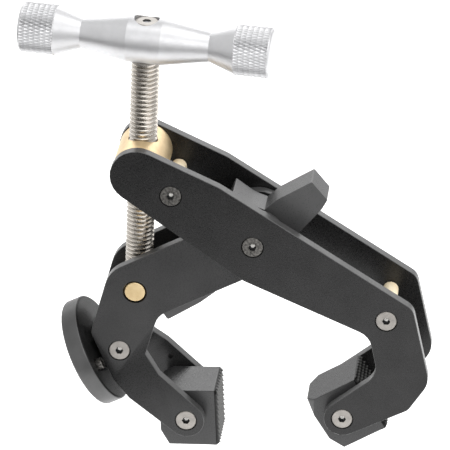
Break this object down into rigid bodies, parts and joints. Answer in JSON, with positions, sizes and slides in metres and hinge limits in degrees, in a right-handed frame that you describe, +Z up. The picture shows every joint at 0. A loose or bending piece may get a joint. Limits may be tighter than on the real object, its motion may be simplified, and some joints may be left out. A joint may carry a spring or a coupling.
{
  "type": "super clamp",
  "caption": "Scissor-type jaw clamp closed by a T-handled screw, with swivelling toothed jaw pads and a round platform whose threaded stud takes other gear.",
  "frame": {"origin": "the axis of a gripped rod, in the middle of the jaws' width", "axes": "+Z up along the spindle at rest, +X from the swinging arm towards the fixed arm's jaw, +Y along the gripped rod, away from the front plates"},
  "size_m": [0.1601, 0.0424, 0.1732],
  "materials": {
    "black_anodised": "black anodised, satin",
    "pad_grey": "dark grey anodised, satin",
    "rocker_grey": "blasted grey",
    "brass": "machined, slightly matte",
    "steel": "bright machined",
    "black_oxide": "black oxide",
    "satin_aluminium": "satin, clear anodised",
    "black_nylon": "plain"
  },
  "bodies": {
    "main_arm": {"main_plate_front": "black_anodised", "main_plate_rear": "black_anodised", "main_pivot_sleeve": "steel", "spacer_left": "brass", "spacer_right": "brass", "pad_sleeve_right": "steel", "pad_washer_right_front": "black_nylon", "pad_washer_right_rear": "black_nylon", "screw_pivot_front": "black_oxide", "screw_pivot_rear": "black_oxide", "screw_spacer_left_front": "black_oxide", "screw_spacer_left_rear": "black_oxide", "screw_spacer_right_front": "steel", "screw_spacer_right_rear": "steel", "screw_pad_right_front": "steel", "screw_pad_right_rear": "steel"},
    "left_arm": {"arm_plate_front": "black_anodised", "arm_plate_rear": "black_anodised", "mount_boss": "black_anodised", "platform_disc": "black_anodised", "platform_stud": "steel", "disc_set_screw": "black_oxide", "pad_sleeve_left": "steel", "pad_washer_left_front": "black_nylon", "pad_washer_left_rear": "black_nylon", "pivot_washer_front": "black_nylon", "pivot_washer_rear": "black_nylon", "screw_boss_front": "steel", "screw_boss_rear": "steel", "screw_pad_left_front": "steel", "screw_pad_left_rear": "steel"},
    "rocker": {"centre_rocker": "rocker_grey"},
    "nut": {"barrel_nut": "brass"},
    "trunnion": {"lower_trunnion": "brass"},
    "spindle": {"spindle": "steel", "t_handle": "satin_aluminium", "handle_screw": "steel", "spindle_clip": "steel"},
    "left_pad": {"jaw_pad_left": "pad_grey"},
    "right_pad": {"jaw_pad_right": "pad_grey"}
  },
  "joints": [
    {"name": "arm_swing", "type": "hinge", "parent": "main_arm", "child": "left_arm", "pos_m": [-0.0075, 0, 0.073], "axis": [0, -1, 0], "range_deg": [-9.5, 16.5]},
    {"name": "nut_tilt", "type": "hinge", "parent": "main_arm", "child": "nut", "pos_m": [-0.0515, 0, 0.098], "axis": [0, -1, 0], "range_deg": [-4.8, 8.3]},
    {"name": "trunnion_slide", "type": "slide", "parent": "nut", "child": "trunnion", "axis": [0, 0, -1], "range_m": [-0.0072, 0.0125]},
    {"name": "handle_turn", "type": "hinge", "parent": "trunnion", "child": "spindle", "pos_m": [-0.0515, 0, 0.048], "axis": [0, 0, -1], "range_deg": [-1440, 2520]},
    {"name": "rocker_tilt", "type": "hinge", "parent": "left_arm", "child": "rocker", "pos_m": [-0.0075, 0, 0.073], "axis": [0, -1, 0], "range_deg": [-3, 15]},
    {"name": "pad_left_spin", "type": "hinge", "parent": "left_arm", "child": "left_pad", "pos_m": [-0.02975, 0, -0.00305], "axis": [0, -1, 0], "continuous": true},
    {"name": "pad_right_spin", "type": "hinge", "parent": "main_arm", "child": "right_pad", "pos_m": [0.0298, 0, 0.0036], "axis": [0, -1, 0], "continuous": true}
  ],
  "couplings": [
    {"joint": "trunnion_slide", "follows": "handle_turn", "m_per_rad": 0.00027852},
    {"joint": "arm_swing", "follows": "handle_turn", "ratio": 0.0064772},
    {"joint": "nut_tilt", "follows": "handle_turn", "ratio": 0.0032386}
  ]
}
